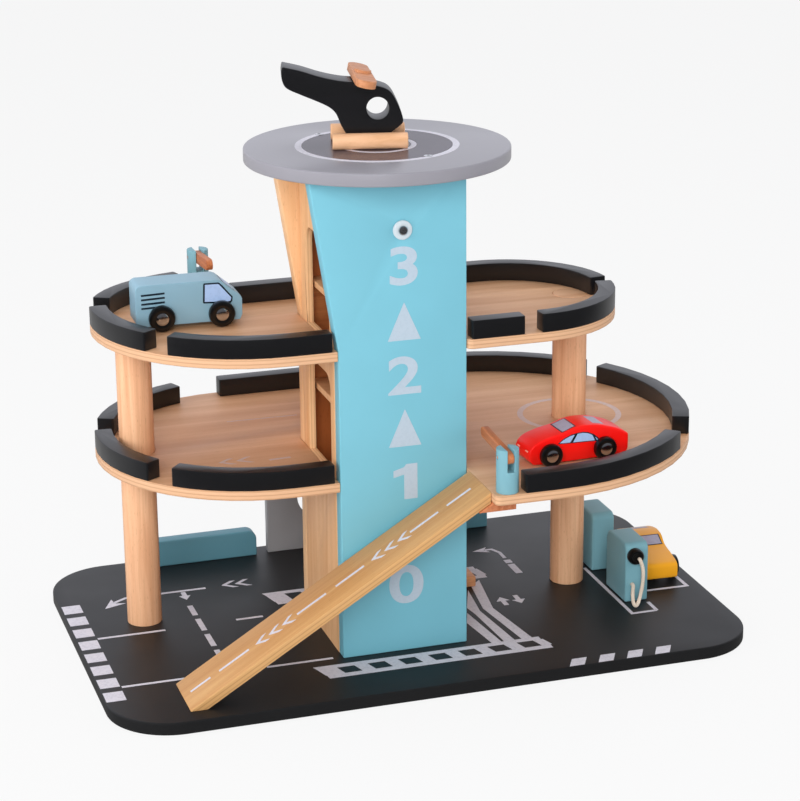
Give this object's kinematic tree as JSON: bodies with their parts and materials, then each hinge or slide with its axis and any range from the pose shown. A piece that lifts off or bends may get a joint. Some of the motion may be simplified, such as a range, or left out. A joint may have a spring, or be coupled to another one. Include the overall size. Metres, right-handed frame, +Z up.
{
  "type": "toy parking garage with lift",
  "caption": "Wooden toy parking garage with a lift tower, round decks on columns, ramps, barriers, fuel pumps, toy cars and a helicopter on the roof pad.",
  "frame": {"origin": "middle of the base board's underside, on the surface the toy stands on", "axes": "+X along the base's length towards the fuel pumps, +Y towards the back, +Z up"},
  "size_m": [0.51, 0.321, 0.457],
  "materials": {
    "blue_paint": "light blue satin paint on wood",
    "black_paint": "black satin paint on wood with pale printed markings",
    "grey_paint": "silver grey semi-gloss paint on wood",
    "dark_grey_paint": "dark grey satin paint on wood",
    "red_paint": "bright red satin paint on wood",
    "yellow_paint": "warm yellow satin paint on wood",
    "beech": "clear varnished beech",
    "plywood": "clear varnished birch plywood",
    "white_plastic": "white gloss",
    "wheel_plastic": "black satin",
    "steel": "bright steel",
    "cord": "natural white braided cord"
  },
  "bodies": {
    "garage": {"base_board": "black_paint", "tower_front_panel": "blue_paint", "tower_back_panel": "beech", "tower_left_side": "plywood", "tower_right_side": "plywood", "helipad_disc": "grey_paint", "lower_deck": "plywood", "upper_deck": "plywood", "left_column": "beech", "right_column": "beech", "front_ramp": "plywood", "rear_ramp": "plywood", "front_ramp_cleat": "beech", "lower_rail_front": "black_paint", "lower_rail_left": "black_paint", "lower_rail_rear_left": "black_paint", "lower_rail_back": "black_paint", "lower_rail_right": "black_paint", "lower_rail_front_right": "black_paint", "upper_rail_front": "black_paint", "upper_rail_left": "black_paint", "upper_rail_rear_left": "black_paint", "upper_rail_back": "black_paint", "upper_rail_right": "black_paint", "upper_rail_short": "black_paint", "rear_wall_left": "blue_paint", "rear_wall_right": "blue_paint", "rear_support_panel": "dark_grey_paint", "pump_front": "blue_paint", "pump_rear": "blue_paint", "pump_knob": "black_paint", "pump_hose": "cord", "wheel_stop": "beech", "front_barrier_post": "blue_paint", "rear_barrier_post": "blue_paint"},
    "lift": {"lift_floor": "plywood", "lift_roof": "plywood", "lift_front_wall": "plywood", "lift_back_wall": "plywood", "lift_string": "cord"},
    "crank": {"winding_shaft": "beech", "shaft_washer": "white_plastic", "shaft_screw": "steel", "crank_arm": "beech", "crank_knob": "beech"},
    "front_barrier": {"front_barrier_arm": "beech"},
    "rear_barrier": {"rear_barrier_arm": "beech"},
    "helicopter": {"helicopter_body": "black_paint", "helicopter_front_skid": "beech", "helicopter_rear_skid": "beech"},
    "rotor": {"helicopter_rotor": "beech"},
    "van": {"van_body": "blue_paint"},
    "van_front_axle": {"van_front_wheels": "wheel_plastic"},
    "van_rear_axle": {"van_rear_wheels": "wheel_plastic"},
    "red_car": {"red_car_body": "red_paint"},
    "red_car_front_axle": {"red_car_front_wheels": "wheel_plastic"},
    "red_car_rear_axle": {"red_car_rear_wheels": "wheel_plastic"},
    "yellow_car": {"yellow_car_body": "yellow_paint"},
    "yellow_car_front_axle": {"yellow_car_front_wheels": "wheel_plastic"},
    "yellow_car_rear_axle": {"yellow_car_rear_wheels": "wheel_plastic"}
  },
  "joints": [
    {"name": "lift_slide", "type": "slide", "parent": "garage", "child": "lift", "axis": [0, 0, 1], "range_m": [-0.19, 0.0495], "deforming": ["lift_string"]},
    {"name": "crank_turn", "type": "hinge", "parent": "garage", "child": "crank", "pos_m": [-0.016, 0, 0.344], "axis": [0, 1, 0], "range_deg": [-470, 1801]},
    {"name": "front_barrier_hinge", "type": "hinge", "parent": "garage", "child": "front_barrier", "pos_m": [0.046, -0.1465, 0.1805], "axis": [1, 0, 0], "range_deg": [-4, 86]},
    {"name": "rear_barrier_hinge", "type": "hinge", "parent": "garage", "child": "rear_barrier", "pos_m": [-0.1235, 0.115, 0.283], "axis": [-1, 0, 0], "range_deg": [-4, 85]},
    {"name": "helicopter_lift_off", "type": "slide", "parent": "garage", "child": "helicopter", "axis": [0, 0, 1], "range_m": [0, 0.1]},
    {"name": "rotor_spin", "type": "hinge", "parent": "helicopter", "child": "rotor", "pos_m": [-0.02694, -0.02659, 0.44428], "axis": [0.1911, -0.0476, 0.9804], "continuous": true},
    {"name": "van_lift_off", "type": "slide", "parent": "garage", "child": "van", "axis": [0, 0, 1], "range_m": [0, 0.05]},
    {"name": "van_front_wheels_spin", "type": "hinge", "parent": "van", "child": "van_front_axle", "pos_m": [-0.13036, 0.02129, 0.266], "axis": [0.0262, 0.9997, 0], "continuous": true},
    {"name": "van_rear_wheels_spin", "type": "hinge", "parent": "van", "child": "van_rear_axle", "pos_m": [-0.17664, 0.02251, 0.266], "axis": [0.0262, 0.9997, 0], "continuous": true},
    {"name": "red_car_lift_off", "type": "slide", "parent": "garage", "child": "red_car", "axis": [0, 0, 1], "range_m": [0, 0.05]},
    {"name": "red_car_front_wheels_spin", "type": "hinge", "parent": "red_car", "child": "red_car_front_axle", "pos_m": [0.09465, -0.09062, 0.1624], "axis": [0.0628, -0.998, 0], "continuous": true},
    {"name": "red_car_rear_wheels_spin", "type": "hinge", "parent": "red_car", "child": "red_car_rear_axle", "pos_m": [0.13995, -0.08778, 0.1624], "axis": [0.0628, -0.998, 0], "continuous": true},
    {"name": "yellow_car_lift_off", "type": "slide", "parent": "garage", "child": "yellow_car", "axis": [0, 0, 1], "range_m": [0, 0.05]},
    {"name": "yellow_car_front_wheels_spin", "type": "hinge", "parent": "yellow_car", "child": "yellow_car_front_axle", "pos_m": [0.22432, -0.01323, 0.0189], "axis": [0.999, -0.0436, 0], "continuous": true},
    {"name": "yellow_car_rear_wheels_spin", "type": "hinge", "parent": "yellow_car", "child": "yellow_car_rear_axle", "pos_m": [0.22608, 0.02723, 0.0189], "axis": [0.999, -0.0436, 0], "continuous": true}
  ],
  "couplings": [
    {"joint": "crank_turn", "follows": "lift_slide", "rad_per_m": -165.29}
  ]
}
